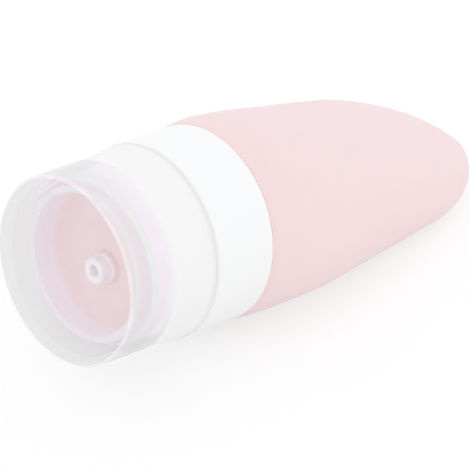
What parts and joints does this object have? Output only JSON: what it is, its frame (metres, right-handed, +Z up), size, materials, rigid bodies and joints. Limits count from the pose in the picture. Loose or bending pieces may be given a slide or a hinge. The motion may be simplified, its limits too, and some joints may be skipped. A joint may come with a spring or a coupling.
{
  "type": "travel silicone bottle",
  "caption": "Soft squeeze bottle lying on its flat side: flattened silicone body, rigid collar, screw-in spout with a small nozzle and a clear screw cap to stand on.",
  "frame": {"origin": "under the middle of the bottle's box, on the surface that its straight underside lies on", "axes": "+X from the cap towards the tail, +Y across the flattened body, +Z up; the bottle's own axis falls 13.5 degrees towards the tail"},
  "size_m": [0.1302, 0.053, 0.0532],
  "materials": {
    "silicone": "satin pale pink",
    "insert_plastic": "natural white",
    "collar_plastic": "smooth white",
    "seal_rubber": "milky silicone",
    "spout_plastic": "milky translucent",
    "cap_plastic": "clear"
  },
  "bodies": {
    "bottle": {"silicone_body": "silicone", "thread_insert": "insert_plastic", "collar": "collar_plastic"},
    "neck_seal": {"neck_seal": "seal_rubber"},
    "spout": {"spout": "spout_plastic"},
    "cap_seal": {"cap_seal": "seal_rubber"},
    "cap": {"cap": "cap_plastic"}
  },
  "joints": [
    {"name": "spout_rise", "type": "slide", "parent": "bottle", "child": "neck_seal", "axis": [-0.9723, 0, 0.2336], "range_m": [0, 0.008]},
    {"name": "spout_turn", "type": "hinge", "parent": "neck_seal", "child": "spout", "pos_m": [-0.03635, 0, 0.02735], "axis": [-0.9723, 0, 0.2336], "range_deg": [0, 720]},
    {"name": "cap_rise", "type": "slide", "parent": "spout", "child": "cap_seal", "axis": [-0.9723, 0, 0.2336], "range_m": [0, 0.01]},
    {"name": "cap_turn", "type": "hinge", "parent": "cap_seal", "child": "cap", "pos_m": [-0.03936, 0, 0.02807], "axis": [-0.9723, 0, 0.2336], "range_deg": [0, 900]}
  ],
  "couplings": [
    {"joint": "spout_rise", "follows": "spout_turn", "m_per_rad": 0.0006366},
    {"joint": "cap_rise", "follows": "cap_turn", "m_per_rad": 0.0006366}
  ]
}
